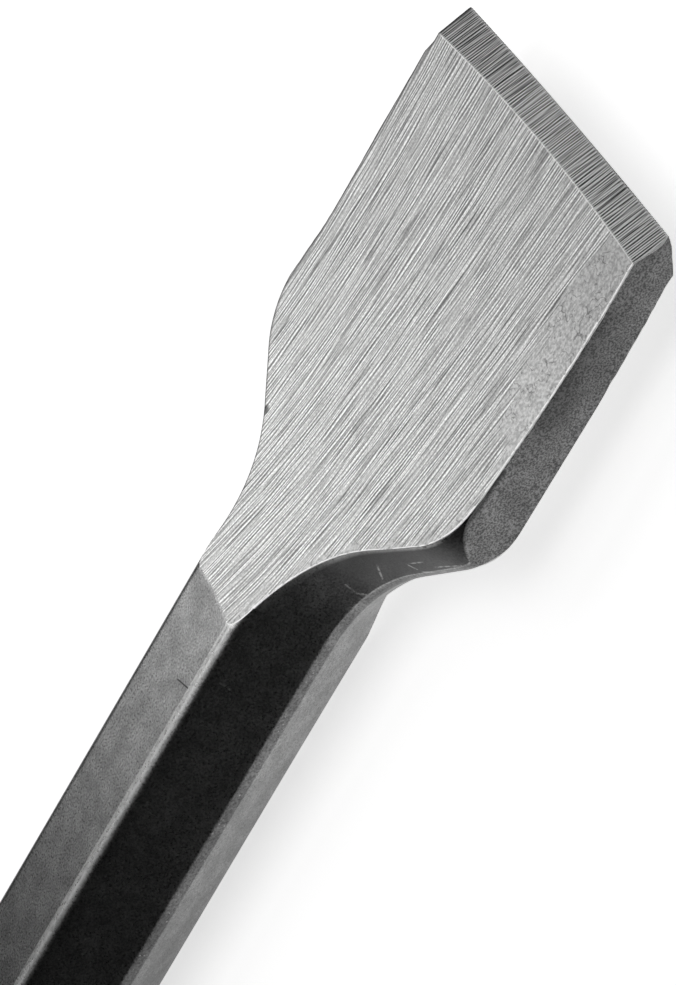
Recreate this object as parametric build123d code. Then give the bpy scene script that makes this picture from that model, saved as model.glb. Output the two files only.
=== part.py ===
from build123d import *
import os
from math import cos, hypot, radians, sqrt, tan

# Flat chisel for a rotary hammer, forged from one hexagonal bar.
# +X runs from the drive end to the cutting edge, +Z is up through the bar's upper flat.
# The origin is on the lower flat, below the middle of the overall length. All sizes are in mm.

# Overall lengths, measured along X
OVERALL_LENGTH = 300.0      # drive end to cutting edge
SHANK_LENGTH = 90.0         # drive end to the start of the cone below the hexagon
BLADE_LENGTH = 71.0         # where the ground faces run out on the flats, to the cutting edge

# Hexagonal bar
HEX_ACROSS_FLATS = 20.0
HEX_EDGE_RADIUS = 1.9       # rolled edges of the bar, and of the forged shoulders
CONE_HALF_ANGLE = 30.0      # turned cone between the shank and the hexagon's corners

# Blade, trimmed from the forging and then ground
BLADE_WIDTH = 50.8          # at the cutting edge
BACK_WIDTH = 49.6           # at the back corners, where the sides were trimmed a little narrower
BLADE_THICKNESS = 6.0       # at the thinnest place of the hollow-ground faces
GRIND_RADIUS = 250.0        # hollow of the two ground faces
BEVEL_HALF_ANGLE = 35.0     # of the cutting edge, measured from the tool's middle plane
EDGE_LAND = 0.25            # blunt land left along the cutting edge

# Shoulders, where the forging flares from the bar to the blade
FLARE_ANGLE = 47.5          # slope of the flare in plan, measured from X

# The two sides of the forging differ a little. Left is +Y, right is -Y.
LEFT_FLASH = 1.4            # how far the forging stood out of the trimmed side
LEFT_SIDE_LENGTH = 43.4     # from the back corner to the cutting edge
LEFT_FLARE_RADIUS = 17.5    # hollow between the bar's side and the flare
LEFT_CORNER_RADIUS = 12.0   # between the flare and the side
LEFT_TIP_RADIUS = 1.0
RIGHT_FLASH = 1.95
RIGHT_SIDE_LENGTH = 44.3
RIGHT_FLARE_RADIUS = 22.0
RIGHT_CORNER_RADIUS = 10.0
RIGHT_TIP_RADIUS = 2.0      # worn rounder than the left one

# Drive shank, turned from the bar, with grooves for the tool holder
SHANK_DIAMETER = 18.0
SHANK_END_CHAMFER = 1.5
NECK_RADIUS = 3.0           # fillet between the shank and the cone
DRIVE_GROOVE_WIDTH = 4.6    # open grooves, which take the turning force
DRIVE_GROOVE_DEPTH = 2.6
DRIVE_GROOVE_LENGTH = 62.0
DRIVE_CUTTER_RADIUS = 16.0  # of the milling cutter, seen where the grooves run out
DRIVE_GROOVE_ANGLES = (90.0, 233.0, 307.0)  # round the axis, from +Y towards +Z
LOCK_GROOVE_RADIUS = 3.6    # closed round-bottomed grooves for the locking rollers
LOCK_GROOVE_DEPTH = 2.4
LOCK_GROOVE_LENGTH = 30.0
LOCK_GROOVE_START = 20.0    # from the drive end
LOCK_GROOVE_ANGLES = (0.0, 180.0)

# Places along X
X_BUTT = -OVERALL_LENGTH / 2
X_TIP = OVERALL_LENGTH / 2
X_SHANK_END = X_BUTT + SHANK_LENGTH
X_GRIND_START = X_TIP - BLADE_LENGTH

# Sections
DRAFT = 30.0                # slope of the hexagon's side flats, measured from upright
AXIS_HEIGHT = HEX_ACROSS_FLATS / 2
CORNER_HALF_WIDTH = AXIS_HEIGHT / cos(radians(DRAFT))
DRAFT_INSET = AXIS_HEIGHT * tan(radians(DRAFT))  # sideways, from a side corner to the top flat

# Working values
CORNER_SHARE = 0.33         # most of a flare's slope that the back corner's arc may take up
ARCS_SHARE = 0.98           # most of it that both arcs may take up
OVERSIZE = 5.0              # how far cutting shapes pass the stock
CLOSE_ENOUGH = 0.001        # lengths that differ by less are the same


def tangent_length(radius):
    """How far an arc of this radius reaches along each side of a flare's corner."""
    return radius * tan(radians(FLARE_ANGLE) / 2)


def fitted_radius(radius, room):
    """A corner radius, limited so that its arc stays within the room along the slope."""
    return min(radius, room / tangent_length(1))


def flare_points(flash, side_length):
    """The corners of one side of the forging's outline, from the drive end to the front."""
    half_width = BLADE_WIDTH / 2 + flash
    x_back_corner = X_TIP - side_length
    x_flare = x_back_corner - (half_width - CORNER_HALF_WIDTH) / tan(radians(FLARE_ANGLE))
    return [
        (X_BUTT, CORNER_HALF_WIDTH),
        (x_flare, CORNER_HALF_WIDTH),
        (x_back_corner, half_width),
        (X_TIP + OVERSIZE, half_width),
    ]


def forging_side(side, flash, side_length, flare_radius, corner_radius, inset):
    """One side of the outline as a rounded line. side is 1 for left and -1 for right."""
    corners = flare_points(flash, side_length)
    slope = hypot(corners[2][0] - corners[1][0], corners[2][1] - corners[1][1])
    corner = fitted_radius(corner_radius, slope * CORNER_SHARE)
    hollow = fitted_radius(flare_radius, slope * ARCS_SHARE - tangent_length(corner))
    points = [(x, side * (y - inset)) for x, y in corners]
    return FilletPolyline(*points, radius=[hollow, corner])


def forging_outline(inset):
    """The whole outline as a face, drawn in from the middle plane's outline by inset."""
    left = forging_side(
        1, LEFT_FLASH, LEFT_SIDE_LENGTH, LEFT_FLARE_RADIUS, LEFT_CORNER_RADIUS, inset
    )
    right = forging_side(
        -1, RIGHT_FLASH, RIGHT_SIDE_LENGTH, RIGHT_FLARE_RADIUS, RIGHT_CORNER_RADIUS, inset
    )
    front = Line(left @ 1, right @ 1)
    back = Line(right @ 0, left @ 0)
    return make_face(left + front + right + back)


def forging():
    """Bar and flared blade, with sides that slope like the hexagon's side flats."""
    middle = Plane.XY.offset(AXIS_HEIGHT) * forging_outline(0)
    upper = Plane.XY.offset(HEX_ACROSS_FLATS) * forging_outline(DRAFT_INSET)
    lower = Plane.XY * forging_outline(DRAFT_INSET)
    body = loft([lower, middle], ruled=True) + loft([middle, upper], ruled=True)
    levels = (0, AXIS_HEIGHT, HEX_ACROSS_FLATS)
    long_edges = [edge for edge in body.edges() if runs_along(edge, levels)]
    return fillet(long_edges, HEX_EDGE_RADIUS)


def runs_along(edge, levels):
    """Whether an edge lies at one of the levels and leads from the drive end to the front."""
    box = edge.bounding_box()
    level = any(abs(box.min.Z - z) + abs(box.max.Z - z) < CLOSE_ENOUGH for z in levels)
    return level and box.size.X > CLOSE_ENOUGH


def turned_envelope():
    """Round shank and the cone that takes the corners off the hexagon's end."""
    radius = SHANK_DIAMETER / 2
    cone_radius = CORNER_HALF_WIDTH + OVERSIZE
    x_cone_end = X_SHANK_END + (cone_radius - radius) / tan(radians(CONE_HALF_ANGLE))
    x_front = X_TIP + OVERSIZE
    profile = FilletPolyline(
        (X_BUTT, 0),
        (X_BUTT, radius - SHANK_END_CHAMFER),
        (X_BUTT + SHANK_END_CHAMFER, radius),
        (X_SHANK_END, radius),
        (x_cone_end, cone_radius),
        (x_cone_end, BLADE_WIDTH),
        (x_front, BLADE_WIDTH),
        (x_front, 0),
        radius=[0, 0, 0, NECK_RADIUS, 0, 0, 0, 0],
        close=True,
    )
    turned = revolve(Plane.XZ * make_face(profile), Axis.X)
    seam_angle = DRIVE_GROOVE_ANGLES[1]  # the turned surface closes inside a groove
    return Pos(0, 0, AXIS_HEIGHT) * Rot(seam_angle - 90, 0, 0) * turned


def trimmed_outline():
    """Upright walls that the trimming tool leaves along the blade's sides and front."""
    x_back = X_TIP - max(LEFT_SIDE_LENGTH, RIGHT_SIDE_LENGTH)
    outline = FilletPolyline(
        (X_BUTT, BACK_WIDTH / 2),
        (x_back, BACK_WIDTH / 2),
        (X_TIP, BLADE_WIDTH / 2),
        (X_TIP, -BLADE_WIDTH / 2),
        (x_back, -BACK_WIDTH / 2),
        (X_BUTT, -BACK_WIDTH / 2),
        radius=[0, 0, LEFT_TIP_RADIUS, RIGHT_TIP_RADIUS, 0, 0],
        close=True,
    )
    return extrude(make_face(outline), HEX_ACROSS_FLATS)


def both_faces(cutter):
    """A cutting shape made for the upper side, with its mirror image for the lower side."""
    return cutter + mirror(cutter, Plane.XY.offset(AXIS_HEIGHT))


def grinding_wheels():
    """The two cylinders that leave the hollow-ground faces."""
    depth = (HEX_ACROSS_FLATS - BLADE_THICKNESS) / 2
    reach = sqrt(2 * GRIND_RADIUS * depth - depth**2)
    height = AXIS_HEIGHT + BLADE_THICKNESS / 2 + GRIND_RADIUS
    wheel = Cylinder(GRIND_RADIUS, BLADE_WIDTH + 2 * OVERSIZE, rotation=(90, 0, 0))
    return both_faces(Pos(X_GRIND_START + reach, 0, height) * wheel)


def bevel_wedges():
    """What is ground away in front of the two bevels."""
    land_edge = AXIS_HEIGHT + EDGE_LAND / 2
    run = HEX_ACROSS_FLATS
    rise = run * tan(radians(BEVEL_HALF_ANGLE))
    wedge = Polyline(
        (X_TIP, land_edge),
        (X_TIP - run, land_edge + rise),
        (X_TIP + OVERSIZE, land_edge + rise),
        (X_TIP + OVERSIZE, land_edge),
        close=True,
    )
    return both_faces(extrude(Plane.XZ * make_face(wedge), BLADE_WIDTH, both=True))


def round_the_shank(cutter, angles):
    """Copies of a cutting shape made for the top of the shank, turned to each angle."""
    place = Pos(X_BUTT, 0, AXIS_HEIGHT)
    return [place * Rot(angle - 90, 0, 0) * cutter for angle in angles]


def drive_groove():
    """Flat-floored groove, open at the drive end, that rises out of the shank in an arc."""
    surface = SHANK_DIAMETER / 2
    floor = surface - DRIVE_GROOVE_DEPTH
    run_out = sqrt(2 * DRIVE_CUTTER_RADIUS * DRIVE_GROOVE_DEPTH - DRIVE_GROOVE_DEPTH**2)
    x_floor_end = DRIVE_GROOVE_LENGTH - run_out
    cutter = Pos(x_floor_end, floor + DRIVE_CUTTER_RADIUS) * Circle(DRIVE_CUTTER_RADIUS)
    slot = Pos(x_floor_end / 2 - OVERSIZE / 2, floor + DRIVE_CUTTER_RADIUS) * Rectangle(
        x_floor_end + OVERSIZE, 2 * DRIVE_CUTTER_RADIUS
    )
    return extrude(Plane.XZ * (cutter + slot), DRIVE_GROOVE_WIDTH / 2, both=True)


def lock_groove():
    """Closed groove with a round floor and round ends."""
    radius = LOCK_GROOVE_RADIUS
    straight = LOCK_GROOVE_LENGTH - 2 * radius
    x_middle = LOCK_GROOVE_START + LOCK_GROOVE_LENGTH / 2
    height = SHANK_DIAMETER / 2 - LOCK_GROOVE_DEPTH + radius
    groove = Cylinder(radius, straight, rotation=(0, 90, 0))
    groove += Pos(-straight / 2, 0, 0) * Sphere(radius)
    groove += Pos(straight / 2, 0, 0) * Sphere(radius)
    return Pos(x_middle, 0, height) * groove


def flat_chisel():
    """The finished tool: forged, turned, trimmed, ground and grooved."""
    body = forging() & turned_envelope() & trimmed_outline()
    body -= grinding_wheels()
    body -= bevel_wedges()
    body -= round_the_shank(drive_groove(), DRIVE_GROOVE_ANGLES)
    body -= round_the_shank(lock_groove(), LOCK_GROOVE_ANGLES)
    return body


os.makedirs("parts", exist_ok=True)
export_step(flat_chisel(), "parts/flat_chisel.step")
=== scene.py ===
from math import acos, atan, atan2, cos, exp, pi, radians, sin, sqrt, tan

import bmesh
import bpy
from mathutils import Matrix, Vector, noise


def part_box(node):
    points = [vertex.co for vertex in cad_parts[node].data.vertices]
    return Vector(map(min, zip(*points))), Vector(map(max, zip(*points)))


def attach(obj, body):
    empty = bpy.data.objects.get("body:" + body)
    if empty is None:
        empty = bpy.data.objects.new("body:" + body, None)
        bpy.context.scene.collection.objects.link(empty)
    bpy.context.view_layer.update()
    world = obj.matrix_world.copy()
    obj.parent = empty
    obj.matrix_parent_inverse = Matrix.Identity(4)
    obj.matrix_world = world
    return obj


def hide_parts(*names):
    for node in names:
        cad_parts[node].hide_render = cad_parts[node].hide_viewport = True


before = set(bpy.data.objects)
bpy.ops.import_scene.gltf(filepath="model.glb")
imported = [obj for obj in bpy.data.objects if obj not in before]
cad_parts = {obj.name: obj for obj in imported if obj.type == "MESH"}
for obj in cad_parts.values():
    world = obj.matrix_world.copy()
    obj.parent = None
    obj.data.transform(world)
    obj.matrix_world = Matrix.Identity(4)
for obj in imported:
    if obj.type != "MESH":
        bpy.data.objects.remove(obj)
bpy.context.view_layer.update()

bl_info = {
    "name": "Flat Chisel",
    "version": (1, 0, 0),
    "blender": (4, 5, 0),
    "location": "View3D > Sidebar > Chisel",
    "description": "Builds a forged and ground flat chisel round its solid model, with a small studio",
    "category": "Object",
}

# The solid model that this piece stands for. All lengths are in metres.
CAD_NODE = "flat_chisel"
LOW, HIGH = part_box(CAD_NODE)
AXIS_HEIGHT = (LOW.z + HIGH.z) / 2
X_TIP = HIGH.x
MM = 0.001


class ChiselShape(bpy.types.PropertyGroup):
    """Sizes of the forged and ground front of the chisel."""

    across_flats: bpy.props.FloatProperty(
        name="Across flats", description="Size of the hexagonal bar",
        default=HIGH.z - LOW.z, unit="LENGTH", precision=4)
    edge_radius: bpy.props.FloatProperty(
        name="Bar edge radius", description="Rounding of the bar's edges",
        default=1.9 * MM, unit="LENGTH", precision=4)
    blade_width: bpy.props.FloatProperty(
        name="Blade width", description="Width that the blade was trimmed to",
        default=50.8 * MM, unit="LENGTH", precision=4)
    blade_length: bpy.props.FloatProperty(
        name="Blade length", description="From the start of the ground faces to the cutting edge",
        default=71.0 * MM, unit="LENGTH", precision=4)
    blade_thickness: bpy.props.FloatProperty(
        name="Blade thickness", description="At the thinnest place of the hollow faces",
        default=5.7 * MM, unit="LENGTH", precision=4)
    lower_extra: bpy.props.FloatProperty(
        name="Lower face", description="How much less the lower face is ground away",
        default=0.43 * MM, unit="LENGTH", precision=5)
    grind_radius: bpy.props.FloatProperty(
        name="Grind radius", description="Hollow of the ground faces along the tool",
        default=250.0 * MM, unit="LENGTH", precision=4)
    cross_hollow: bpy.props.FloatProperty(
        name="Cross hollow", description="How much the faces dip across the width near the bevels",
        default=0.42 * MM, unit="LENGTH", precision=5)
    grind_tilt: bpy.props.FloatProperty(
        name="Grind tilt", description="Sideways slope of the ground faces next to the bar",
        default=atan(0.037), unit="ROTATION")
    bevel_angle: bpy.props.FloatProperty(
        name="Bevel angle", description="Of each bevel, measured from the middle plane",
        default=radians(35), unit="ROTATION")
    edge_land: bpy.props.FloatProperty(
        name="Edge land", description="Thickness of the blunt cutting edge",
        default=0.25 * MM, unit="LENGTH", precision=5)
    flare_angle: bpy.props.FloatProperty(
        name="Flare angle", description="Slope of the shoulders in plan, measured from the tool",
        default=radians(47.5), unit="ROTATION")
    worn_edge: bpy.props.FloatProperty(
        name="Worn edge", description="Width of the rubbed edges of the ground faces",
        default=0.10 * MM, unit="LENGTH", precision=5)


class ChiselFinish(bpy.types.PropertyGroup):
    """Colours of the steel surfaces."""

    ground: bpy.props.FloatVectorProperty(
        name="Ground face", description="Middle tone of the ground faces",
        default=(0.58, 0.58, 0.577), size=3, subtype="COLOR")
    bevel: bpy.props.FloatVectorProperty(
        name="Bevel", description="Middle tone of the two bevels",
        default=(0.48, 0.48, 0.48), size=3, subtype="COLOR")
    skin: bpy.props.FloatVectorProperty(
        name="Forged skin", description="Satin skin of the bar and shoulders",
        default=(0.43, 0.43, 0.43), size=3, subtype="COLOR")
    wall: bpy.props.FloatVectorProperty(
        name="Trimmed sides", description="Trimmed sides of the blade",
        default=(0.235, 0.235, 0.235), size=3, subtype="COLOR")
    turned: bpy.props.FloatVectorProperty(
        name="Turned shank", description="Bare turned steel of the drive end",
        default=(0.36, 0.36, 0.355), size=3, subtype="COLOR")
    worn: bpy.props.FloatVectorProperty(
        name="Worn edges", description="Bare steel where edges are rubbed",
        default=(0.93, 0.93, 0.925), size=3, subtype="COLOR")
    # Real oxide in dents, scratches and the teeth under the ground borders, and also the colour of the
    # painted shade
    dark: bpy.props.FloatVectorProperty(
        name="Oxide_and_painted_shade", description="Dark oxide left in scratches, recesses and dull edges",
        default=(0.045, 0.045, 0.045), size=3, subtype="COLOR")


class ChiselStudio(bpy.types.PropertyGroup):
    """Camera, floor and lights."""

    azimuth: bpy.props.FloatProperty(
        name="Azimuth", description="Turn of the camera round the object, from straight in front",
        default=radians(28.083), unit="ROTATION")
    elevation: bpy.props.FloatProperty(
        name="Elevation", description="Height of the camera above the horizon",
        default=radians(37.700), unit="ROTATION")
    roll: bpy.props.FloatProperty(
        name="Roll", description="Turn of the camera about its own line of sight",
        default=radians(-77.435), unit="ROTATION")
    distance: bpy.props.FloatProperty(
        name="Distance", description="From the camera to the point it looks at",
        default=0.5961, unit="LENGTH", precision=4)
    target: bpy.props.FloatVectorProperty(
        name="Target", description="The point in the middle of the picture",
        default=(0.09360, 0.00506, 0.00690), size=3, subtype="XYZ", unit="LENGTH", precision=5)
    lens: bpy.props.FloatProperty(
        name="Lens", description="Focal length in millimetres on a 36 mm frame",
        default=182.68, subtype="DISTANCE_CAMERA")
    floor_colour: bpy.props.FloatVectorProperty(
        name="Floor", description="Colour of the floor", default=(0.86, 0.86, 0.86),
        size=3, subtype="COLOR")
    floor_size: bpy.props.FloatProperty(
        name="Floor size", description="Width of the floor", default=12.0, unit="LENGTH")
    key_power: bpy.props.FloatProperty(
        name="Softbox power", description="Power of the large light behind the object",
        default=4.9, unit="POWER")
    top_power: bpy.props.FloatProperty(
        name="Top light power", description="Power of the light overhead",
        default=6.0, unit="POWER")
    surround: bpy.props.FloatProperty(
        name="Surround", description="Strength of the grey room round the set", default=0.014)


# The two sides of the forging. flash is how far it stood out of the trimmed side, length runs from
# the back corner to the cutting edge, lean is how far the wall spreads for each length down, and
# pinch is how much it is drawn in above the middle plane next to the tip.
LEFT = {
    "sign": 1, "flash": 1.4 * MM, "length": 43.4 * MM,
    "flare_radius": 17.5 * MM, "corner_radius": 12.0 * MM, "tip_radius": 0.4 * MM,
    "wall_back": 24.25 * MM, "wall_tip": 25.33 * MM, "lean": 0.0, "pinch": 0.27,
}
RIGHT = {
    "sign": -1, "flash": 1.95 * MM, "length": 44.3 * MM,
    "flare_radius": 22.0 * MM, "corner_radius": 10.0 * MM, "tip_radius": 2.0 * MM,
    "wall_back": 25.12 * MM, "wall_tip": 25.05 * MM, "lean": 0.045, "pinch": 0.0,
}
LOWER_CREASE = 3.2 * MM     # depth below the middle plane from which the lower flanks lie flatter
BAR_CROWN = 0.17 * MM       # how much less the middle of the bar's flat is ground away
FLAT_HALF = 5.8 * MM        # half width of the bar's flat
CROWN_PLACE = 7.0 * MM      # where the cutting edge reaches furthest, to the left of the middle
CURVE_LEFT = 0.59           # how far it draws back left of there, for each square metre
CURVE_RIGHT = 0.40
WALL_EASE = (9.0 * MM, 13.0 * MM)   # lengths at both ends over which the wall keeps its width
PINCH_EASE = (X_TIP - 8.0 * MM, X_TIP - 5.0 * MM)

# Random lines along the sides: depth, row, and waves for each metre. Borders give their depth as
# a share of their width.
WALL_WAVES = (0.05 * MM, 1, 320.0)
WALL_GRAIN = (0.02 * MM, 2, 1100.0)
BORDER_NICKS = (1.4, 3, 420.0)
BORDER_GRAIN = (0.5, 4, 1500.0)
BORDER_LIMIT = 0.8          # widest worn border, as a share of the face's height
ON_FLANK = 0.1              # spread for each width from which a border lies on a flank
ROLL_REST = 0.01 * MM       # least height of rolled edge that the grinding leaves
FLANK_LIMIT = 0.92          # highest break between flank and wall, as a share of the border's height

# Soft steps along the blade, measured from the start of the ground faces.
TILT_FADE = (4.0 * MM, 20.0 * MM)
CROWN_FADE = (2.0 * MM, 14.0 * MM)
HOLLOW_RISE = (30.0 * MM, 62.0 * MM)
SHOULDER_RISE = (9.0 * MM, 13.0 * MM)

# Sums of such steps: the height of each, and its start and end in millimetres.
LOWER_STEPS = ((1.0, 39, 43), (-1.0, 57, 66))   # where the lower face is ground away less
CUT_STEPS = ((0.06, -70, -5), (0.56, 3, 16))    # how much flatter the lower flanks lie
WALL_STEPS = ((1.0, 40, 47), (-0.55, 57, 63))   # painted shade of the wall
CORNER_STEPS = ((0.7, 19, 25), (-0.7, 32, 38))  # painted shade round the wall's back corner
# Width of the dull strip along the right border, in millimetres.
DULL_STEPS = ((0.8, 10, 24), (5.0, 34, 48), (1.8, 50, 62), (-2.2, 62, 66))

# Front of the chisel: a tube of rings round the tool's axis. Every ring has the same spans, so
# each crease of the forging runs along one line of vertices.
ACROSS = 96                 # steps across the upper face
UNDER = 48                  # steps across the lower face
EDGE = 6                    # steps over an edge
FLANK = 8                   # steps down a sloped flank
SIDE = 6                    # steps from the flank to the middle plane
SIDE_SPANS = (("edge", EDGE), ("flank", FLANK), ("side", 2 * SIDE), ("flank", FLANK), ("edge", EDGE))
RING_SPANS = (("top", ACROSS), *SIDE_SPANS, ("bottom", UNDER), *SIDE_SPANS)
X_JOIN = -50.0 * MM         # where the front meets the copy of the solid's drive end
X_FINE = 54.0 * MM          # where the close rings begin
BAR_STEP = 4.0 * MM         # between rings along the bar
FINE_STEP = 0.35 * MM       # between rings along the blade
BORDER_STEP = 0.17 * MM     # from the bevels' borders to the next ring
BEVEL_RINGS = 14
GRIND_BEND = 12.0 * MM      # rings this near the ground faces' start bend with it
BEVEL_BEND = 14.0 * MM      # and this near the bevels' borders with those
SHANK_LENGTH = 90.0 * MM
SHANK_END = 0.5 * MM        # turned part of the hexagon's back shoulder
WELD = 0.001 * MM           # points closer than this are one
SHARP_ANGLE = radians(24)
FLANK_ANGLE = radians(30)   # slope of the hexagon's side flats, measured from upright
ROLL_TURN = radians(60)     # from the upper flat to a side flat, round a rolled edge
ROLL_FADE = 4.0 * MM        # length over which the grinding cuts the rolled edges away
CORNER_ROUNDS = 5           # rounds in which a ring's corners settle
BEVEL_ROUNDS = 4            # rounds in which the bevels' borders settle
ZONES = ("skin", "ground", "bevel", "wall", "turned")
WALL_EARLY = 1.0 * MM       # length of wall before the back corner
FLANK_LATE = 8.0 * MM       # length of forged flank past the back corner

# Values that each point keeps for the materials. Wear and painted shade run from 0 to 1.
PAINTS = ("wear", "shade", "below", "dull", "rim")
ROLLED_WEAR = (0.6, 1.0, 0.9, 0.36, 0.12, 0.0, 0.0)     # over a rolled edge, from the upper flat
BORDER_FALL = 0.5           # how much less worn a ground border is at its lower end
BEVEL_WEAR = 0.9            # between ground face and bevel
TIP_WEAR = 0.6              # along the cutting edge
CREASE_WEAR = 0.45          # at the lower end of the right shoulder's ground border
CREASE_SPAN = (12.0 * MM, 24.0 * MM)
TEETH_SPAN = (24.0 * MM, 62.0 * MM)     # where oxide teeth hang from the border
LEFT_SHADE = 0.9            # painted shade of the ground faces' left border
ROLLED_SHADE = 0.95         # painted shade of the bar's left edge, and the steps over which it comes in
ROLLED_STEPS = (0.4, 2.2)
BAR_SHADE = 0.55            # painted shade of the bar's upper right flat
SHOULDER_SHADE = (1.0, 0.92)    # painted shade of the right shoulder, under its border and at its middle
WALL_SHADE = (0.38, 0.42)   # painted shade of the right wall in the middle plane, and its growth upwards
WALL_HALF = 3.2 * MM        # about the height of the wall above the middle plane
WALL_PAINT = 38.0 * MM      # where the wall's painted shade takes over from the shoulder's

# Machining marks. On the ground faces they lean to the right, least so in the middle of the
# length, and fan out a little. On the bevels they lean slightly to the left.
MARK_LEAN = 0.105           # sideways run of a mark for each length, at the bar
MARK_TURN = -5.57           # how that changes, for each metre
MARK_CURL = 79.4            # how that change grows, for each square metre
FAN_OUT = 29.0              # share that the marks spread by, for each square metre
BEVEL_LEAN = -0.083         # sideways run of the bevels' marks
LINE_SETS = ((2700.0, 0.22), (2150.0, 0.18), (1500.0, 0.13))    # lines for each metre, and depth

# Small damage, as places in the solid's frame and sizes, all in millimetres.
DENTS = (((73.5, -4.6, 19.4), 0.8), ((66.2, -4.8, 19.4), 0.7))
NICK = ((97.9, 13.4, 16.1), 0.9)
FLAT_SCRATCH = ((68.3, -2.2, 20.0), (68.8, -4.6, 20.0), 0.12)
SCRATCH_SIZE = 0.20
SCRATCHES = (               # start and end of each light scratch and fold on the right side
    ((96.1, -15.0, 13.6), (94.4, -14.7, 11.6)),
    ((90.9, -11.7, 13.3), (90.5, -12.4, 11.7)),
    ((90.5, -12.4, 11.7), (90.9, -13.1, 11.0)),
    ((98.9, -18.3, 12.8), (98.9, -19.0, 11.6)),
    ((98.9, -19.4, 11.0), (101.0, -21.9, 10.2)),
    ((99.3, -18.7, 12.8), (100.7, -20.3, 12.7)),
    ((101.0, -21.4, 11.5), (103.5, -24.3, 11.0)),
    ((71.7, -6.9, 18.0), (71.5, -7.6, 16.8)),
)

# Soft steps of the materials: the two values of a pattern, or the two places, between which a
# step lies, and the amounts before and after it.
SKIN_GRAIN = (0.30, 0.70, 0.68, 1.32)
SKIN_CLOUD = (0.30, 0.70, 0.82, 1.18)
SKIN_PAINTED_FALLOFF = (-15.0 * MM, 80.0 * MM, 0.36, 1.0)      # painted fall-off of the light, darker towards the drive end
SKIN_MIDDLE = (0.50 * MM, 0.85 * MM, 0.50, 1.0)     # darker along the middle plane
SKIN_SPECKS = (0.70, 0.78, 0.0, 0.35)
SKIN_ROUGH = (0.30, 0.70, 0.27, 0.33)
WEAR_PATCHES = (0.30, 0.55, 0.55, 1.0)
TOOTH_DEPTH = (0.38, 0.72, 0.0, 0.5 * MM)
TOOTH_END = (-0.08 * MM, 0.10 * MM, 0.85, 0.0)
DENT_PITS = (0.46, 0.56)
SCRATCH_GAPS = (0.35, 0.60, 0.05, 0.38)
RIM_GAPS = (0.34, 0.50, 0.15, 1.0)
RIM_WIDTH = (0.08 * MM, 0.24 * MM, 1.0, 0.0)
GROUND_LINES = (0.64, 0.74)
GROUND_MARKS = (0.05, 0.95, 0.42, 1.55)
GROUND_GRAIN = (0.30, 0.70, 0.84, 1.16)
GROUND_ROUGH = (0.30, 0.70, 0.42, 0.34)
GROUND_FADE = (5.0 * MM, 64.0 * MM, 1.02, 0.84)     # darker towards the bevels
GROUND_START = (0.0, 0.25 * MM)
DULL_BORDER = (-1.0 * MM, 1.0 * MM)
DULL_CLOUDS = (0.60, 0.68, 0.0, 0.3)
DULL_GRAIN = (0.30, 0.70, 0.66, 1.14)
DULL_FADE = (48.0 * MM, 66.0 * MM, 1.0, 0.82)
CRACK_WIDTH = (0.004, 0.016, 1.0, 0.0)
CRACK_CLOUDS = (0.38, 0.52, 0.0, 0.45)
BEVEL_LINES = (0.62, 0.72)
BEVEL_MARKS = (0.12, 0.88, 0.05, 1.95)
BEVEL_FADE = (2.0 * MM, 23.0 * MM, 1.45, 0.95)      # darker towards the left
WALL_SPECKS = (0.32, 0.68, 0.52, 1.48)
WALL_CLOUD = (0.30, 0.70, 0.86, 1.14)
TURNED_RINGS = (0.30, 0.70, 0.75, 1.0)

# Amounts in the materials, and the depth and strength of each surface's relief.
PAINTED_SHADE_DEPTH = 0.9           # how far full painted shade darkens the steel towards the dark colour
DENT_DARK = 0.8
DENT_DEPTH = 3.0            # as a multiple of the skin's grain
NICK_DARK = 0.85
LINE_DARK = 0.45            # how much single dark lines darken the ground faces
LINE_LIGHT = 0.15
LINE_DEPTH = 0.5            # as a share of the marks' depth
BEVEL_LINE_DARK = 0.5
DULL_RAGGED = 6.0 * MM      # how far the dull strip's border wanders
START_RAGGED = 1.2 * MM     # how unevenly the marks begin on the bar's flat
SOFT_CORE = 0.3             # share of a spot or scratch that is fully painted
MARK_WANDER = 12.0          # how far close lines drift, in radians
WANDER_SIZE = 2.5           # how much wider the drift is than the lines
SKIN_RELIEF = (0.02 * MM, 0.5)
GROUND_RELIEF = (0.006 * MM, 0.6)
BEVEL_RELIEF = (0.007 * MM, 0.6)
WALL_RELIEF = (0.02 * MM, 0.6)
TURNED_RELIEF = (0.01 * MM, 0.5)

# The two lights: place, size, and what the floor adds to what sees it.
KEY_PLACE = (0.155, 0.95, 0.92)
KEY_SIZE = (1.4, 0.9)
TOP_PLACE = (0.10, -0.10, 1.30)
TOP_SIZE = (1.2, 1.2)
FLOOR_SEEN = 0.80           # strength that the camera sees
FLOOR_MIRRORED = 0.47       # strength that the steel mirrors


def clamp(value, low=0.0, high=1.0):
    return max(low, min(high, value))


def ease(value, start, end):
    """0 up to start and 1 from end on, with a soft step between them."""
    t = clamp((value - start) / (end - start))
    return t * t * (3 - 2 * t)


def blend(a, b, share):
    return a + (b - a) * share


def growth(steps, place):
    """The sum of soft steps at a place along the blade."""
    return sum(height * ease(place, start * MM, end * MM) for height, start, end in steps)


def rough(x, sign, depth, row, scale):
    """A smooth random line along X. Each row is another line, and so is each side."""
    return depth * noise.noise(Vector((x * scale, row * sign, 0.5)))


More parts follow.
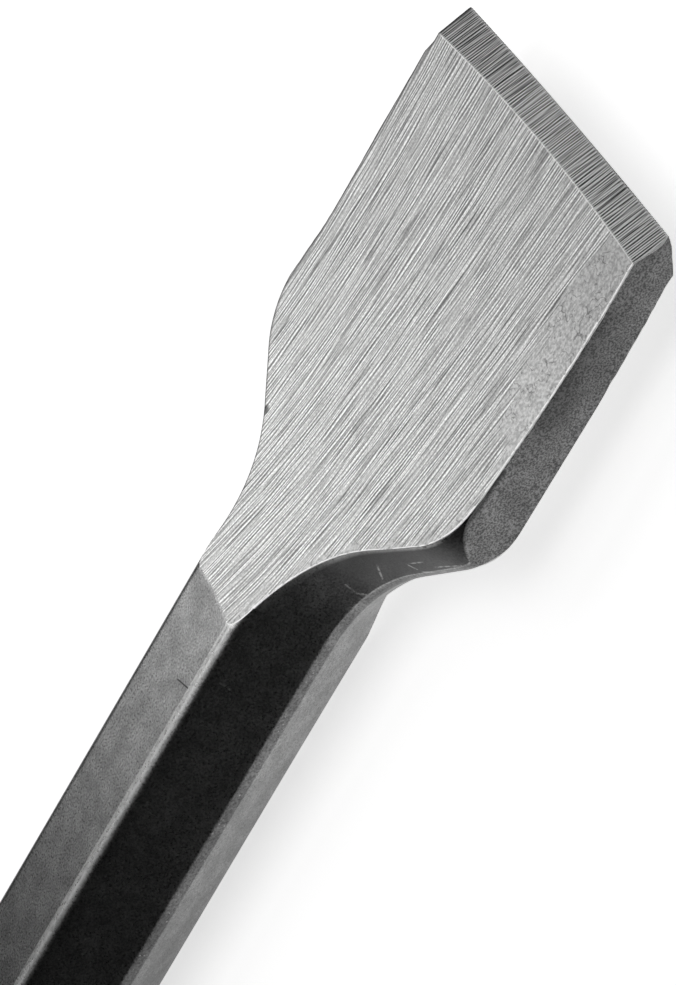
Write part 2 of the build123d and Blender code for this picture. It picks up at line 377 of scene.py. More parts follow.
class Side:
    """One side of the forging, with the wall that was trimmed along the blade."""

    def __init__(self, shape, sizes):
        for name, size in sizes.items():
            setattr(self, name, size)
        self.x_grind = X_TIP - shape.blade_length
        self.half = shape.across_flats / 2
        self.radius = shape.edge_radius
        self.bar = self.half / cos(FLANK_ANGLE)
        self.full = shape.blade_width / 2 + self.flash
        self.angle = shape.flare_angle
        self.x_corner = X_TIP - self.length
        self.x_flare = self.x_corner - (self.full - self.bar) / tan(self.angle)

    def forged(self, x):
        """Half width of the forging in the middle plane."""
        start = self.x_flare - self.flare_radius * tan(self.angle / 2)
        end = self.x_corner + self.corner_radius * tan(self.angle / 2)
        if x <= start:
            return self.bar
        if x < start + self.flare_radius * sin(self.angle):
            return self.bar + self.flare_radius - sqrt(self.flare_radius**2 - (x - start) ** 2)
        if x >= end:
            return self.full
        if x > end - self.corner_radius * sin(self.angle):
            return self.full - self.corner_radius + sqrt(self.corner_radius**2 - (end - x) ** 2)
        return self.bar + (x - self.x_flare) * tan(self.angle)

    def pinched(self, x):
        """How much the wall is drawn in for each height above the middle plane."""
        return self.pinch * ease(x, *PINCH_EASE)

    def cut(self, x):
        """How much flatter the lower flank lies than the upper one."""
        return growth(CUT_STEPS, x - self.x_grind)

    def wall(self, x, level):
        """Half width of the trimmed wall along the blade, rounded off at the tip."""
        share = ease(x, self.x_corner + WALL_EASE[0], X_TIP - WALL_EASE[1])
        width = blend(self.wall_back, self.wall_tip, share) - self.lean * level
        width -= self.pinched(x) * max(level, 0.0)
        width += rough(x, self.sign, *WALL_WAVES) + rough(x, self.sign, *WALL_GRAIN)
        past = clamp(x - (X_TIP - self.tip_radius), 0.0, self.tip_radius)
        return width - self.tip_radius + sqrt(self.tip_radius**2 - past**2)

    def half_width(self, x, level):
        """Half width at a height above or below the middle plane."""
        forged = self.forged(x)
        height = abs(level)
        radius = self.radius
        if height < radius / 2:
            width = forged + sqrt(radius**2 - height**2) - radius / cos(FLANK_ANGLE)
        elif height < self.half - radius / 2:
            width = forged - height * tan(FLANK_ANGLE)
        else:
            centre = forged - (self.half + radius) * tan(FLANK_ANGLE)
            width = centre + sqrt(max(radius**2 - (height - self.half + radius) ** 2, 0.0))
        if level < -LOWER_CREASE:
            width -= self.cut(x) * (height - LOWER_CREASE)
        return min(width, self.wall(x, level))

    def wall_height(self, x, face):
        """Height above or below the middle plane where the wall meets the sloped flank."""
        over = self.forged(x) - self.wall(x, 0.0)
        slope = tan(FLANK_ANGLE) - face * self.lean
        if face > 0:
            slope -= self.pinched(x)
        elif over > slope * LOWER_CREASE:
            over += self.cut(x) * LOWER_CREASE
            slope += self.cut(x)
        return max(over / slope, self.radius / 2)


class Front:
    """The chisel's front as points for each ring."""

    def __init__(self, shape):
        self.shape = shape
        self.half = shape.across_flats / 2
        self.x_grind = X_TIP - shape.blade_length
        depth = (shape.across_flats - shape.blade_thickness) / 2
        self.reach = sqrt(2 * shape.grind_radius * depth - depth**2)
        self.left = Side(shape, LEFT)
        self.right = Side(shape, RIGHT)
        self.x_bevel = self.bevel_line(0.0)

    def ground(self, x, y, face=1):
        """Height of a ground face from the middle plane."""
        shape = self.shape
        past = x - self.x_grind
        height = shape.blade_thickness / 2 + shape.grind_radius
        height -= sqrt(shape.grind_radius**2 - (past - self.reach) ** 2)
        tilt = tan(shape.grind_tilt) * (1 - ease(past, *TILT_FADE))
        dip = shape.cross_hollow * ease(past, *HOLLOW_RISE)
        height += self.crown(y) * (1 - ease(past, *CROWN_FADE))
        height += tilt * y - dip * (1 - (2 * y / shape.blade_width) ** 2)
        return height + (shape.lower_extra * growth(LOWER_STEPS, past) if face < 0 else 0.0)

    def crown(self, y):
        """How much the ground face bulges across the width of the bar's flat."""
        return BAR_CROWN * max(1 - (y / FLAT_HALF) ** 2, 0.0)

    def edge_place(self, y):
        """Where the slightly curved cutting edge lies."""
        curve = CURVE_LEFT if y > CROWN_PLACE else CURVE_RIGHT
        return X_TIP - curve * (y - CROWN_PLACE) ** 2

    def bevel(self, x, y):
        """Height of a bevel from the middle plane."""
        return self.shape.edge_land / 2 + (self.edge_place(y) - x) * tan(self.shape.bevel_angle)

    def grind_line(self, y):
        """Where the ground face runs out on the bar's flat."""
        run_out = sqrt(self.shape.grind_radius**2 - self.reach**2) / self.reach
        return self.x_grind + (tan(self.shape.grind_tilt) * y + self.crown(y)) * run_out

    def bevel_line(self, y):
        """Where the ground face meets the bevel."""
        x = X_TIP
        for _ in range(BEVEL_ROUNDS):
            rise = self.ground(x, y) - self.shape.edge_land / 2
            x = self.edge_place(y) - rise / tan(self.shape.bevel_angle)
        return x

    def place(self, station, y):
        """X of a ring at a distance from the axis. Rings bend to follow the ground borders."""
        at_grind = self.grind_line(y) - self.x_grind
        at_bevel = self.bevel_line(y) - self.x_bevel
        at_tip = self.edge_place(y) - X_TIP
        near_grind = 1 - clamp(abs(station - self.x_grind) / GRIND_BEND)
        if station < self.x_bevel:
            near_bevel = 1 - clamp((self.x_bevel - station) / BEVEL_BEND)
            return station + at_grind * near_grind + at_bevel * near_bevel
        share = (station - self.x_bevel) / (X_TIP - self.x_bevel)
        return station + blend(at_bevel, at_tip, share)

    def thickness(self, station, x, y, face):
        """Height of a face from the middle plane."""
        if station <= self.x_grind:
            return self.half
        if station <= self.x_bevel:
            return min(self.half, self.ground(x, y, face))
        return max(self.bevel(x, y), self.shape.edge_land / 2)

    def corner(self, side, station, face):
        """X, half width and height where a face meets a side."""
        y = side.half_width(station, self.half)
        for _ in range(CORNER_ROUNDS):
            x = self.place(station, side.sign * y)
            height = self.thickness(station, x, side.sign * y, face)
            y = side.half_width(x, face * height)
        return x, y, height

    def rolled_points(self, side, x, height, face):
        """Half widths and heights over a rolled edge, or what the grinding leaves of it."""
        radius = side.radius
        first = acos(clamp((height - self.half + radius) / radius))
        points = []
        for i in range(EDGE + 1):
            level = self.half - radius + radius * cos(blend(first, ROLL_TURN, i / EDGE))
            points.append(Vector((side.half_width(x, face * level), level)))
        return points

    def worn_points(self, side, x, y, height, face):
        """Half widths and heights over the worn border of a ground face."""
        nicks = max(0.0, rough(x, side.sign, *BORDER_NICKS))
        wear = 1 + nicks + rough(x, side.sign, *BORDER_GRAIN)
        size = min(self.shape.worn_edge * wear, height * BORDER_LIMIT)
        spread = side.half_width(x, face * (height - size)) - y
        on_flank = spread > size * ON_FLANK
        level = height - size * (cos(FLANK_ANGLE) if on_flank else 1.0)
        start = Vector((y - size, height))
        corner = Vector((y, height))
        end = Vector((side.half_width(x, face * level), level))
        points = []
        for i in range(EDGE + 1):
            t = i / EDGE
            points.append(start * (1 - t) ** 2 + corner * 2 * t * (1 - t) + end * t**2)
        return points

    def half_side(self, side, station, face):
        """The points from a face's border to the middle plane."""
        x, y, height = self.corner(side, station, face)
        if height > self.half - side.radius / 2 + ROLL_REST:
            points = self.rolled_points(side, x, height, face)
        else:
            points = self.worn_points(side, x, y, height, face)
        level = points[-1].y
        break_level = min(side.wall_height(x, face), level * FLANK_LIMIT)
        for start, end, count in ((level, break_level, FLANK), (break_level, 0.0, SIDE)):
            for i in range(1, count + 1):
                z = blend(start, end, i / count)
                points.append(Vector((side.half_width(x, face * z), z)))
        return [Vector((x, side.sign * p.x, AXIS_HEIGHT + face * p.y)) for p in points]

    def side_points(self, side, station):
        """The points down one side, from the top's last point to the bottom's first."""
        upper = self.half_side(side, station, 1)
        lower = self.half_side(side, station, -1)
        return upper + list(reversed(lower[:-1]))

    def face_points(self, station, y_from, y_to, count, face):
        """The points across the top or the bottom, without the two ends."""
        points = []
        for i in range(1, count):
            y = blend(y_from, y_to, i / count)
            x = self.place(station, y)
            height = self.thickness(station, x, y, face)
            points.append(Vector((x, y, AXIS_HEIGHT + face * height)))
        return points

    def ring(self, station):
        left = self.side_points(self.left, station)
        right = self.side_points(self.right, station)
        top = self.face_points(station, left[0].y, right[0].y, ACROSS, 1)
        bottom = self.face_points(station, right[-1].y, left[-1].y, UNDER, -1)
        return top + right + bottom + list(reversed(left))

    def stations(self):
        """The rings' places along the axis."""
        before = self.x_bevel - BORDER_STEP
        after = self.x_bevel + BORDER_STEP
        found = []
        for start, end, step in (
            (X_JOIN, X_FINE, BAR_STEP), (X_FINE, self.x_grind, FINE_STEP),
            (self.x_grind, before, FINE_STEP),
        ):
            count = round((end - start) / step)
            found += [blend(start, end, i / count) for i in range(count)]
        found += [before, self.x_bevel]
        return found + [blend(after, X_TIP, i / BEVEL_RINGS) for i in range(BEVEL_RINGS + 1)]


def ring_labels():
    """The span that each stretch of a ring belongs to, from the top's first inner point on."""
    labels = []
    for span, count in RING_SPANS:
        labels += [span] * count
    return labels[1:] + labels[:1]


def edge_wear(front, station, step):
    """How rubbed a point over an edge is, from 0 to 1. The first step is at the upper face."""
    past = station - front.x_grind
    rolled = ROLLED_WEAR[step] * (1 - clamp(past / ROLL_FADE))
    if past <= 0:
        return rolled
    if past < ROLL_FADE:
        return 1.0 if step == 0 else rolled
    return 1.0 - BORDER_FALL * (step / EDGE) ** 2 if step else 0.0


def side_shade(front, station, point, step):
    """How much painted shade a point of the right side gets, from 0 to 1. The first step is below the
    edge.
    """
    past = station - front.x_grind
    # Painted shade on the wall, darkest at its top
    if past > WALL_PAINT:
        middle, rise = WALL_SHADE
        level = (point.z - AXIS_HEIGHT) / WALL_HALF
        return clamp(middle + rise * level) * growth(WALL_STEPS, past)
    if step > FLANK:
        return 0.0
    # Painted shade on the bar's right flat, the shoulder and round the wall's back corner
    shoulder = blend(*SHOULDER_SHADE, step / FLANK)
    shoulder = blend(BAR_SHADE, shoulder, ease(past, *SHOULDER_RISE))
    return max(growth(CORNER_STEPS, past), shoulder)


def ring_paint(front, station, points):
    """Values of each point of a ring for the materials: how rubbed it is and how much painted shade it
    gets, from 0 to 1, its depth below the upper face's border, how far inside the dull strip it
    lies, and its distance from the upper face's right border."""
    unpainted = {"wear": 0.0, "shade": 0.0, "below": 1.0, "dull": -1.0, "rim": 1.0}
    paint = {name: [unpainted[name]] * len(points) for name in PAINTS}
    right = ACROSS - 1
    left = len(points) - 1
    half_side = EDGE + FLANK + SIDE
    bottom_left = left - 2 * half_side
    past = station - front.x_grind
    for step in range(EDGE + 1):
        wear = edge_wear(front, station, step)
        paint["wear"][right + step] = wear
        paint["wear"][bottom_left + step] = wear
        # Painted shade over the left edges, and over the right edge's steps down to the flank
        rolled = ROLLED_SHADE * ease(step, *ROLLED_STEPS)
        paint["shade"][left - step] = rolled if past < ROLL_FADE else LEFT_SHADE
        paint["shade"][right + step] = side_shade(front, station, points[right], 0) * step / EDGE
    # Painted shade down the right side
    for step in range(1, 2 * half_side - EDGE):
        index = right + EDGE + step
        paint["shade"][index] = side_shade(front, station, points[index], step)
    if CREASE_SPAN[0] < past < CREASE_SPAN[1]:
        paint["wear"][right + EDGE] = CREASE_WEAR
    if TEETH_SPAN[0] < past < TEETH_SPAN[1]:
        for index in range(right, right + 2 * half_side):
            paint["below"][index] = points[right].z - points[index].z
    for index in range(right + EDGE + 1):
        paint["rim"][index] = max(points[index].y - points[right].y, 0.0)
        paint["dull"][index] = growth(DULL_STEPS, past) * MM - paint["rim"][index]
    for place, wear in ((front.x_bevel, BEVEL_WEAR), (X_TIP, TIP_WEAR)):
        if abs(station - place) < BORDER_STEP / 2:
            paint["wear"][:right] = [wear] * right
    return paint


def turn_of(point):
    """The angle of a point on the starting circle, as a share of a full turn."""
    return (atan2(point.y, point.x) / (2 * pi)) % 1.0


def zone(front, span, station):
    """Which surface a face of the front belongs to."""
    flat = span in ("top", "bottom")
    if station > front.x_bevel + BORDER_STEP / 2 and (flat or span == "edge"):
        return "bevel"
    if station > front.x_grind + FINE_STEP / 4 and flat:
        return "ground"
    if span == "edge" and station > front.x_grind + ROLL_FADE:
        return "ground"
    if span == "side" and station > front.right.x_corner - WALL_EARLY:
        return "wall"
    if span == "flank" and station > front.right.x_corner + FLANK_LATE:
        return "wall"
    return "skin"


def front_mesh(front):
    """The front as a mesh: a circle drawn out along the axis, then set on the rings' points."""
    labels = ring_labels()
    stations = front.stations()
    rings = [front.ring(station) for station in stations]
    paint = [ring_paint(front, station, ring) for station, ring in zip(stations, rings)]
    bm = bmesh.new()
    circle = bmesh.ops.create_circle(bm, radius=1.0, segments=len(labels))
    drawn = list(circle["verts"]) + list(bm.edges)
    bmesh.ops.spin(
        bm, geom=drawn, cent=(0, 0, 0), axis=(0, 0, 1), dvec=(0, 0, 1), angle=0,
        steps=len(stations) - 1, use_merge=False, use_normal_flip=False, use_duplicate=False)
    for name in PAINTS:
        bm.verts.layers.float.new(name)
    layers = {name: bm.verts.layers.float[name] for name in PAINTS}
    for face in bm.faces:
        middle = face.calc_center_median()
        span = labels[round(turn_of(middle) * len(labels) - 0.5) % len(labels)]
        face.material_index = ZONES.index(zone(front, span, stations[int(middle.z) + 1]))
    for vertex in bm.verts:
        ring = round(vertex.co.z)
        index = round(turn_of(vertex.co) * len(labels)) % len(labels)
        for name, layer in layers.items():
            vertex[layer] = paint[ring][name][index]
        vertex.co = rings[ring][index]
    tip = [e for e in bm.edges if e.is_boundary and e.verts[0].co.x > front.x_bevel]
    cap = bmesh.ops.contextual_create(bm, geom=tip)["faces"]
    for face in cap:
        face.material_index = ZONES.index("bevel")
    bmesh.ops.recalc_face_normals(bm, faces=bm.faces)
    return bm


def drive_end_mesh():
    """The solid's drive end, cut off where the front begins."""
    bm = bmesh.new()
    bm.from_mesh(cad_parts[CAD_NODE].data)
    for layer in list(bm.loops.layers.uv.values()):
        bm.loops.layers.uv.remove(layer)
    bmesh.ops.remove_doubles(bm, verts=bm.verts, dist=WELD)
    everything = list(bm.verts) + list(bm.edges) + list(bm.faces)
    bmesh.ops.bisect_plane(
        bm, geom=everything, dist=WELD / 10, plane_co=(X_JOIN, 0, 0), plane_no=(1, 0, 0),
        clear_outer=True)
    x_skin = LOW.x + SHANK_LENGTH + SHANK_END
    for face in bm.faces:
        turned = face.calc_center_median().x < x_skin
        face.material_index = ZONES.index("turned" if turned else "skin")
    return bm


def write_lay(bm, front):
    """Writes the directions of the grinding marks as a map: first along the marks, then across."""
    lay = bm.loops.layers.uv.new("lay")
    for face in bm.faces:
        on_bevel = face.material_index == ZONES.index("bevel")
        for loop in face.loops:
            point = loop.vert.co
            if on_bevel:
                along = (point.x - front.x_bevel) / cos(front.shape.bevel_angle)
                loop[lay].uv = (along, point.y + along * BEVEL_LEAN)
            else:
                loop[lay].uv = grind_marks(point.x - front.grind_line(point.y), point.y)


def grind_marks(past, y):
    """Along and across the ground faces' marks."""
    run = clamp(past, 0.0, 1.0)
    bend = MARK_LEAN * run + MARK_TURN * run**2 / 2 + MARK_CURL * run**3 / 3
    return past, y * exp(-FAN_OUT * run**2) + bend


def build_body(shape):
    """The whole chisel as one mesh."""
    front = Front(shape)
    joined = bmesh.new()
    for part in (front_mesh(front), drive_end_mesh()):
        mesh = bpy.data.meshes.new("part")
        part.to_mesh(mesh)
        part.free()
        joined.from_mesh(mesh)
        bpy.data.meshes.remove(mesh)
    seam = [e for e in joined.edges if e.is_boundary]
    bmesh.ops.bridge_loops(joined, edges=seam)
    bmesh.ops.recalc_face_normals(joined, faces=joined.faces)
    for edge in joined.edges:
        edge.smooth = not edge.is_manifold or edge.calc_face_angle(0.0) < SHARP_ANGLE
    for face in joined.faces:
        face.smooth = True
    write_lay(joined, front)
    mesh = bpy.data.meshes.new("chisel")
    joined.to_mesh(mesh)
    joined.free()
    return mesh


# Materials


class Nodes:
    """Short names for the shader nodes that the steel surfaces are made of."""

    def __init__(self, name):
        self.material = bpy.data.materials.new(name)
        self.material.use_nodes = True
        self.tree = self.material.node_tree
        self.shader = self.tree.nodes["Principled BSDF"]
        self.places = self.add("ShaderNodeTexCoord").outputs["Object"]
        marks = self.add("ShaderNodeUVMap")
        marks.uv_map = "lay"
        self.marks = marks.outputs["UV"]

    def add(self, kind):
        return self.tree.nodes.new(kind)

    def set(self, socket, value):
        """Links a socket, or sets its plain value."""
        if isinstance(value, bpy.types.NodeSocket):
            self.tree.links.new(value, socket)
        elif hasattr(value, "__len__") and len(value) == 3 and socket.type == "RGBA":
            socket.default_value = (*value, 1.0)
        else:
            socket.default_value = value

    def attribute(self, name):
        node = self.add("ShaderNodeAttribute")
        node.attribute_name = name
        return node.outputs["Fac"]

    def noise(self, scale, stretch=(1, 1, 1), detail=3.0, roughness=0.55, shift=(0, 0, 0), where=None):
        """A cloudy pattern from 0 to 1. scale is how many clouds a metre holds, and stretch how
        many times finer they are along each axis."""
        mapping = self.add("ShaderNodeMapping")
        self.set(mapping.inputs["Vector"], where or self.places)
        mapping.inputs["Scale"].default_value = stretch
        mapping.inputs["Location"].default_value = shift
        node = self.add("ShaderNodeTexNoise")
        self.set(node.inputs["Vector"], mapping.outputs["Vector"])
        node.inputs["Scale"].default_value = scale
        node.inputs["Detail"].default_value = detail
        node.inputs["Roughness"].default_value = roughness
        return node.outputs["Fac"]

    def math(self, operation, a, b=0.0):
        node = self.add("ShaderNodeMath")
        node.operation = operation
        self.set(node.inputs[0], a)
        self.set(node.inputs[1], b)
        return node.outputs[0]

    def times(self, a, b):
        return self.math("MULTIPLY", a, b)

    def plus(self, a, b):
        return self.math("ADD", a, b)

    def minus(self, a, b):
        return self.math("SUBTRACT", a, b)

    def step(self, value, start, end, low=0.0, high=1.0):
        """A soft step of a value, from low at start to high at end."""
        node = self.add("ShaderNodeMapRange")
        node.interpolation_type = "SMOOTHSTEP"
        for name, number in (
            ("Value", value), ("From Min", start), ("From Max", end), ("To Min", low), ("To Max", high),
        ):
            self.set(node.inputs[name], number)
        return node.outputs[0]

    def mix(self, share, a, b, blend_type="MIX"):
        node = self.add("ShaderNodeMix")
        node.data_type = "RGBA"
        node.blend_type = blend_type
        self.set(node.inputs[0], share)
        self.set(node.inputs[6], a)
        self.set(node.inputs[7], b)
        return node.outputs[2]

    def shaded(self, colour, amount):
        """A colour times a grey amount."""
        grey = self.add("ShaderNodeCombineColor")
        for socket in grey.inputs:
            self.set(socket, amount)
        return self.mix(1.0, colour, grey.outputs[0], "MULTIPLY")

    def part_of(self, where, name):
        """One coordinate of a place."""
        node = self.add("ShaderNodeSeparateXYZ")
        self.set(node.inputs[0], where)
        return node.outputs[name]

    def vector(self, operation, a, b, output="Vector"):
        node = self.add("ShaderNodeVectorMath")
        node.operation = operation
        self.set(node.inputs[0], a)
        self.set(node.inputs[1], b)
        return node.outputs[output]

    def near(self, distance, size):
        """1 at no distance, falling to 0 at a size in millimetres."""
        return self.step(distance, SOFT_CORE * size * MM, size * MM, 1.0, 0.0)

    def spot(self, place, size):
        """1 at a place, falling to 0 round it."""
        return self.near(self.vector("DISTANCE", self.places, Vector(place) * MM, "Value"), size)

    def scratch(self, start, end, size):
        """1 on the line between two places, falling to 0 beside it."""
        start, end = Vector(start) * MM, Vector(end) * MM
        run = end - start
        offset = self.vector("SUBTRACT", self.places, start)
        share = self.vector("DOT_PRODUCT", offset, run / run.length_squared, "Value")
        share = self.math("MAXIMUM", self.math("MINIMUM", share, 1.0), 0.0)
        nearest = self.vector("MULTIPLY", run, share)
        return self.near(self.vector("DISTANCE", offset, nearest, "Value"), size)

    def bump(self, height, distance, strength):
        node = self.add("ShaderNodeBump")
        node.inputs["Strength"].default_value = strength
        node.inputs["Distance"].default_value = distance
        self.set(node.inputs["Height"], height)
        self.set(self.shader.inputs["Normal"], node.outputs["Normal"])

    def finish(self, colour, roughness, metallic=1.0):
        self.set(self.shader.inputs["Base Color"], colour)
        self.set(self.shader.inputs["Roughness"], roughness)
        self.shader.inputs["Metallic"].default_value = metallic
        return self.material


def worn_and_painted_shade(n, finish, colour):
    """A colour with bare steel on rubbed edges and painted shade, mixed towards the dark colour, where
    the shade attribute is set.
    """
    patches = n.noise(1.0, (900.0, 2600.0, 2600.0), detail=2.0)
    wear = n.times(n.attribute("wear"), n.step(patches, *WEAR_PATCHES))
    # Painted shade: the colour goes towards the dark colour by the shade attribute
    colour = n.mix(n.times(n.attribute("shade"), PAINTED_SHADE_DEPTH), colour, finish.dark)
    return n.mix(wear, colour, finish.worn)


def skin_colour(n, finish):
    """Satin forged skin, finely speckled, with a painted fall-off of the light that darkens it towards
    the drive end.
    """
    grain = n.noise(3600.0, detail=1.0, roughness=0.7)
    cloud = n.noise(300.0, detail=3.0)
    tone = n.times(n.step(grain, *SKIN_GRAIN), n.step(cloud, *SKIN_CLOUD))
    # Painted fall-off of the light along the bar
    tone = n.times(tone, n.step(n.part_of(n.places, "X"), *SKIN_PAINTED_FALLOFF))
    level = n.math("ABSOLUTE", n.minus(n.part_of(n.places, "Z"), AXIS_HEIGHT))
    colour = n.shaded(finish.skin, n.times(tone, n.step(level, *SKIN_MIDDLE)))
    speck = n.step(n.noise(2100.0, detail=1.0, shift=(4.0, 1.0, 2.0)), *SKIN_SPECKS)
    return n.mix(speck, colour, finish.worn), grain


def toothed(n, finish, colour):
    """A colour with ragged dark teeth of oxide under the border of the ground face."""
    ragged = n.noise(1.0, (1600.0, 400.0, 400.0), detail=2.0)
    depth = n.step(ragged, *TOOTH_DEPTH)
    teeth = n.step(n.minus(n.attribute("below"), depth), *TOOTH_END)
    return n.mix(teeth, colour, finish.dark)


def forged_skin(finish):
    """The skin of the bar and shoulders, with dents in the bar's rubbed edge and scratches."""
    n = Nodes("forged_skin")
    colour, grain = skin_colour(n, finish)
    colour = toothed(n, finish, worn_and_painted_shade(n, finish, colour))
    dents = 0.0
    for place, size in DENTS:
        dents = n.math("MAXIMUM", dents, n.spot(place, size))
    dents = n.times(dents, n.step(n.noise(1500.0, detail=1.0), *DENT_PITS))
    dark = n.math("MAXIMUM", n.times(dents, DENT_DARK), n.scratch(*FLAT_SCRATCH))
    colour = n.mix(dark, colour, finish.dark)
    light = 0.0
    for start, end in SCRATCHES:
        light = n.math("MAXIMUM", light, n.scratch(start, end, SCRATCH_SIZE))
    broken = n.step(n.noise(1900.0, detail=1.0), *SCRATCH_GAPS)
    colour = n.mix(n.times(light, broken), colour, finish.worn)
    n.bump(n.minus(grain, n.times(dents, DENT_DEPTH)), *SKIN_RELIEF)
    return n.finish(colour, n.step(grain, *SKIN_ROUGH))


def streaks(n, scale, length, row):
    """Fine lines along the machining marks, from 0 to 1."""
    return n.noise(1.0, (length, scale, 1.0), 0.0, 0.5, (row, 2.3 * row, 0.7 * row), n.marks)


def close_lines(n, length, row):
    """Close, uneven lines along the machining marks, from 0 to 1."""
    across = n.part_of(n.marks, "Y")
    total = 0.5
    for count, share in LINE_SETS:
        row += 1.7
        wander = n.times(streaks(n, count / WANDER_SIZE, length, row), MARK_WANDER)
        turn = n.plus(n.times(across, 2 * pi * count), wander)
        total = n.plus(total, n.times(n.math("SINE", turn), share))
    return total


def rimmed(n, finish, colour):
    """A colour with a thin, broken line of bare steel along the right border."""
    gaps = n.step(n.noise(1100.0, detail=2.0), *RIM_GAPS)
    line = n.step(n.attribute("rim"), *RIM_WIDTH)
    return n.mix(n.times(line, gaps), colour, finish.worn)


def ground_steel(finish):
    """Bright ground faces with fine marks, dark scratches and a dull, cracked strip at the right."""
    n = Nodes("ground_steel")
    marks = close_lines(n, 100.0, 1.0)
    dark = n.step(streaks(n, 4400.0, 170.0, 5.0), *GROUND_LINES)
    light = n.step(streaks(n, 5000.0, 230.0, 8.0), *GROUND_LINES)
    grain = n.noise(4500.0, detail=0.0)
    cloud = n.noise(1.0, (110.0, 260.0, 260.0), 3.0)
    patchy = n.noise(2400.0, detail=2.0, roughness=0.6, shift=(2.0, 5.0, 1.0))
    crack = n.math("ABSOLUTE", n.minus(n.noise(420.0, detail=2.0), 0.5))
    crack = n.times(n.step(crack, *CRACK_WIDTH), n.step(cloud, *CRACK_CLOUDS))
    along = n.part_of(n.marks, "X")
    ends = streaks(n, 1100.0, 90.0, 11.0)
    uneven = n.times(n.minus(n.plus(cloud, ends), 1.0), DULL_RAGGED)
    strip = n.step(n.plus(n.attribute("dull"), uneven), *DULL_BORDER)
    dull = n.math("MAXIMUM", n.step(cloud, *DULL_CLOUDS), strip)
    tone = n.times(n.step(marks, *GROUND_MARKS), n.step(grain, *GROUND_GRAIN))
    tone = n.times(tone, n.minus(1.0, n.times(dark, LINE_DARK)))
    tone = n.plus(tone, n.times(light, LINE_LIGHT))
    tone = n.times(tone, n.step(along, *GROUND_FADE))
    plain = n.times(n.step(patchy, *DULL_GRAIN), n.step(along, *DULL_FADE))
    plain = n.times(plain, n.minus(1.0, crack))
    tone = n.plus(n.times(tone, n.minus(1.0, dull)), n.times(plain, dull))
    ragged = n.plus(along, n.times(n.minus(marks, 0.5), START_RAGGED))
    started = n.step(ragged, *GROUND_START)
    colour = n.mix(started, skin_colour(n, finish)[0], n.shaded(finish.ground, tone))
    colour = rimmed(n, finish, worn_and_painted_shade(n, finish, colour))
    colour = n.mix(n.times(n.spot(*NICK), NICK_DARK), colour, finish.dark)
    n.bump(n.minus(marks, n.times(dark, LINE_DEPTH)), *GROUND_RELIEF)
    return n.finish(colour, n.step(marks, *GROUND_ROUGH))


def bevel_steel(finish):
    """Bevels with close sharp marks, darker than the ground faces, most so at the left."""
    n = Nodes("bevel_steel")
    marks = close_lines(n, 110.0, 2.0)
    dark = n.step(streaks(n, 4600.0, 200.0, 6.0), *BEVEL_LINES)
    tone = n.times(n.step(marks, *BEVEL_MARKS), n.minus(1.0, n.times(dark, BEVEL_LINE_DARK)))
    tone = n.times(tone, n.step(n.part_of(n.places, "Y"), *BEVEL_FADE))
    colour = n.shaded(finish.bevel, tone)
    n.bump(marks, *BEVEL_RELIEF)
    return n.finish(rimmed(n, finish, worn_and_painted_shade(n, finish, colour)), 0.40)


def trimmed_wall(finish):
    """Grey trimmed sides of the blade, finely speckled."""
    n = Nodes("trimmed_wall")
    grain = n.noise(4300.0, detail=1.0, roughness=0.6)
    cloud = n.noise(330.0, detail=3.0)
    tone = n.times(n.step(grain, *WALL_SPECKS), n.step(cloud, *WALL_CLOUD))
    colour = n.shaded(finish.wall, tone)
    n.bump(n.plus(grain, cloud), *WALL_RELIEF)
    return n.finish(toothed(n, finish, worn_and_painted_shade(n, finish, colour)), 0.5)


def turned_steel(finish):
    """Bare turned shank with fine rings."""
    n = Nodes("turned_steel")
    rings = n.noise(1.0, (3800.0, 60.0, 60.0), 2.0)
    cloud = n.noise(140.0, detail=3.0)
    shade = n.plus(n.times(rings, 0.7), n.times(cloud, 0.3))
    colour = n.shaded(finish.turned, n.step(shade, *TURNED_RINGS))
    n.bump(rings, *TURNED_RELIEF)
    return n.finish(colour, 0.36)


def floor_paint(studio):
    """Pale floor that the camera and the steel see as white, apart from the object's shadow."""
    n = Nodes("floor_paint")
    n.finish(studio.floor_colour, 0.9, 0.0)
    seen = n.add("ShaderNodeLightPath")
    camera = n.times(seen.outputs["Is Camera Ray"], FLOOR_SEEN)
    steel = n.math("MAXIMUM", seen.outputs["Is Glossy Ray"], seen.outputs["Is Transmission Ray"])
    lit = n.add("ShaderNodeEmission")
    n.set(lit.inputs["Color"], studio.floor_colour)
    n.set(lit.inputs["Strength"], n.math("MAXIMUM", camera, n.times(steel, FLOOR_MIRRORED)))
    total = n.add("ShaderNodeAddShader")
    n.set(total.inputs[0], n.shader.outputs[0])
    n.set(total.inputs[1], lit.outputs[0])
    n.set(n.tree.nodes["Material Output"].inputs["Surface"], total.outputs[0])
    return n.material


def linked(name, data):
    """A new object in the scene."""
    thing = bpy.data.objects.new(name, data)
    bpy.context.scene.collection.objects.link(thing)
    return thing


def studio_floor(studio):
    """A large flat floor at the height of the bar's lower flat."""
    bm = bmesh.new()
    bmesh.ops.create_grid(bm, x_segments=1, y_segments=1, size=studio.floor_size / 2)
    mesh = bpy.data.meshes.new("floor")
    bm.to_mesh(mesh)
    bm.free()
    mesh.materials.append(floor_paint(studio))
    floor = linked("floor", mesh)


def softbox(name, power, size, place, aim):
    """A rectangular light at a place, facing a point."""
    light = bpy.data.lights.new(name, "AREA")
    light.shape = "RECTANGLE"
    light.size, light.size_y = size
    light.energy = power
    turn = (Vector(aim) - Vector(place)).to_track_quat("-Z", "Y").to_matrix().to_4x4()
    linked(name, light).matrix_world = Matrix.Translation(place) @ turn


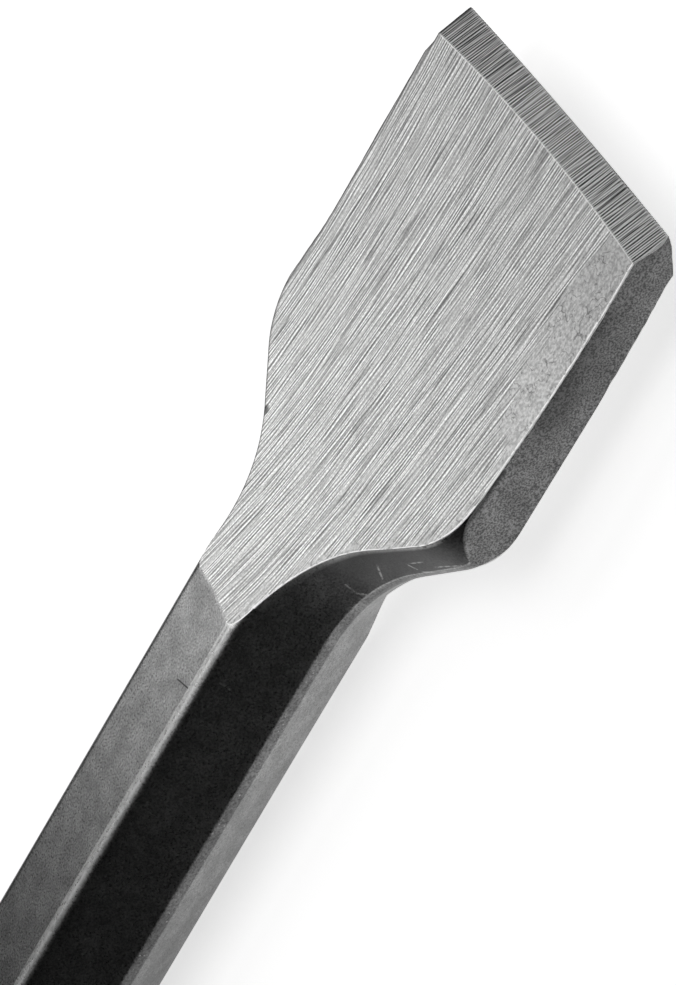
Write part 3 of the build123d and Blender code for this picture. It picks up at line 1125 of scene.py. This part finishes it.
def studio_camera(studio):
    """The camera at the photograph's viewing angle."""
    data = bpy.data.cameras.new("camera")
    data.lens = studio.lens
    data.sensor_width = 36.0
    turn = (
        Matrix.Rotation(studio.azimuth, 4, "Z")
        @ Matrix.Rotation(pi / 2 - studio.elevation, 4, "X")
        @ Matrix.Rotation(studio.roll, 4, "Z")
    )
    back = turn.col[2].xyz
    camera = linked("camera", data)
    camera.matrix_world = Matrix.Translation(Vector(studio.target) + back * studio.distance) @ turn
    bpy.context.scene.camera = camera


def grey_room(strength):
    """A plain dim surround."""
    world = bpy.data.worlds.new("room")
    world.use_nodes = True
    background = world.node_tree.nodes["Background"]
    background.inputs["Color"].default_value = (1.0, 1.0, 1.0, 1.0)
    background.inputs["Strength"].default_value = strength
    bpy.context.scene.world = world


class CHISEL_OT_build_body(bpy.types.Operator):
    """Build the chisel's body, with its ground faces, bevels and forged skin"""

    bl_idname = "chisel.build_body"
    bl_label = "Build Chisel"

    def execute(self, context):
        finish = context.scene.chisel_finish
        mesh = build_body(context.scene.chisel_shape)
        for make in (forged_skin, ground_steel, bevel_steel, trimmed_wall, turned_steel):
            mesh.materials.append(make(finish))
        body = linked("chisel", mesh)
        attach(body, "root")
        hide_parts(CAD_NODE)
        return {"FINISHED"}


class CHISEL_OT_build_stage(bpy.types.Operator):
    """Set up the floor, the lights and the camera"""

    bl_idname = "chisel.build_stage"
    bl_label = "Build Studio"

    def execute(self, context):
        studio = context.scene.chisel_studio
        studio_floor(studio)
        grey_room(studio.surround)
        softbox("key", studio.key_power, KEY_SIZE, KEY_PLACE, studio.target)
        softbox("top", studio.top_power, TOP_SIZE, TOP_PLACE, studio.target)
        studio_camera(studio)
        context.scene.view_settings.view_transform = "Standard"
        return {"FINISHED"}


class CHISEL_PT_sidebar(bpy.types.Panel):
    """Sizes, colours and studio of the chisel"""

    bl_idname = "CHISEL_PT_sidebar"
    bl_label = "Flat Chisel"
    bl_space_type = "VIEW_3D"
    bl_region_type = "UI"
    bl_category = "Chisel"

    def draw(self, context):
        for group, operator in (
            ("chisel_shape", "chisel.build_body"),
            ("chisel_finish", None),
            ("chisel_studio", "chisel.build_stage"),
        ):
            box = self.layout.box()
            settings = getattr(context.scene, group)
            for name in settings.__annotations__:
                box.prop(settings, name)
            if operator:
                box.operator(operator)


GROUPS = {
    "chisel_shape": ChiselShape, "chisel_finish": ChiselFinish, "chisel_studio": ChiselStudio,
}
CLASSES = (*GROUPS.values(), CHISEL_OT_build_body, CHISEL_OT_build_stage, CHISEL_PT_sidebar)


def register():
    for cls in CLASSES:
        bpy.utils.register_class(cls)
    for name, group in GROUPS.items():
        setattr(bpy.types.Scene, name, bpy.props.PointerProperty(type=group))


def unregister():
    for name in GROUPS:
        delattr(bpy.types.Scene, name)
    for cls in reversed(CLASSES):
        bpy.utils.unregister_class(cls)


def main():
    register()
    bpy.ops.chisel.build_body()
    bpy.ops.chisel.build_stage()
    bpy.context.view_layer.update()


if __name__ == "__main__":
    main()
